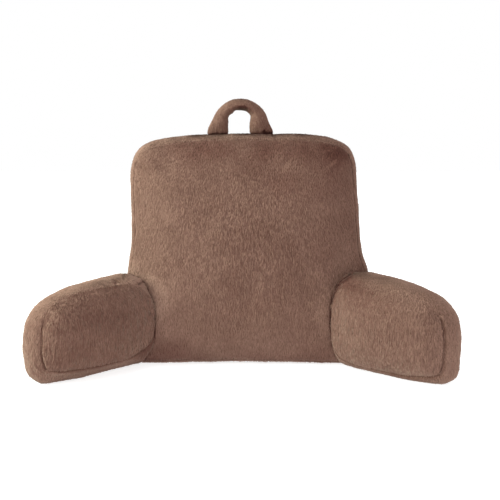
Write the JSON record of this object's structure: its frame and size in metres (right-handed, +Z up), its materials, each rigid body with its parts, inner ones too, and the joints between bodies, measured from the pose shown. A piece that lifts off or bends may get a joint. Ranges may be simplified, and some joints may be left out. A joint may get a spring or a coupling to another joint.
{
  "type": "reading pillow",
  "caption": "Stuffed reading pillow in brown plush: a leaning back cushion with rounded top corners, a splayed arm on each side and a carrying handle on top.",
  "frame": {"origin": "middle of the footprint of the whole pillow, on the surface it stands on", "axes": "+X to the right seen from the front, +Y from the front to the back, +Z up; the reader leans on the side that faces -Y"},
  "size_m": [0.8202, 0.3662, 0.5408],
  "materials": {
    "plush": "brown short-pile plush, matt"
  },
  "bodies": {
    "root": {"backrest": "plush", "arm_left": "plush", "arm_right": "plush", "handle": "plush"}
  },
  "joints": []
}
